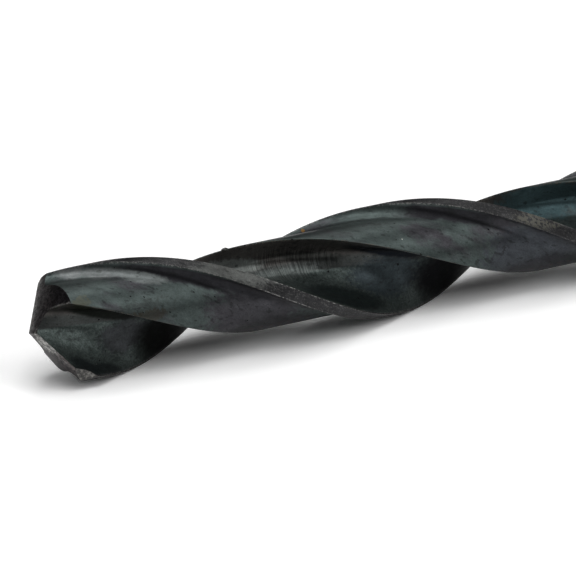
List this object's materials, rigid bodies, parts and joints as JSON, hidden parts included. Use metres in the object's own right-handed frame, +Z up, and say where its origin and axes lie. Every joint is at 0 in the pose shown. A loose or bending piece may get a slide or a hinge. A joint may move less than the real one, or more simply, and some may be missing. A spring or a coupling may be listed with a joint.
{
  "type": "twist drill bit",
  "caption": "Straight-shank twist drill bit with helical flutes and a conical cutting point, in worn black-finished high-speed steel.",
  "frame": {"origin": "middle of the shank's end face, on the drill's axis", "axes": "+X along the drill's axis from the point towards the shank's end, +Z up as the drill lies on a surface, +Y to the side"},
  "size_m": [0.1328, 0.01, 0.01],
  "materials": {
    "black_oxide_steel": "black oxide, satin, worn at the edges"
  },
  "bodies": {
    "root": {"twist_drill": "black_oxide_steel"}
  },
  "joints": []
}
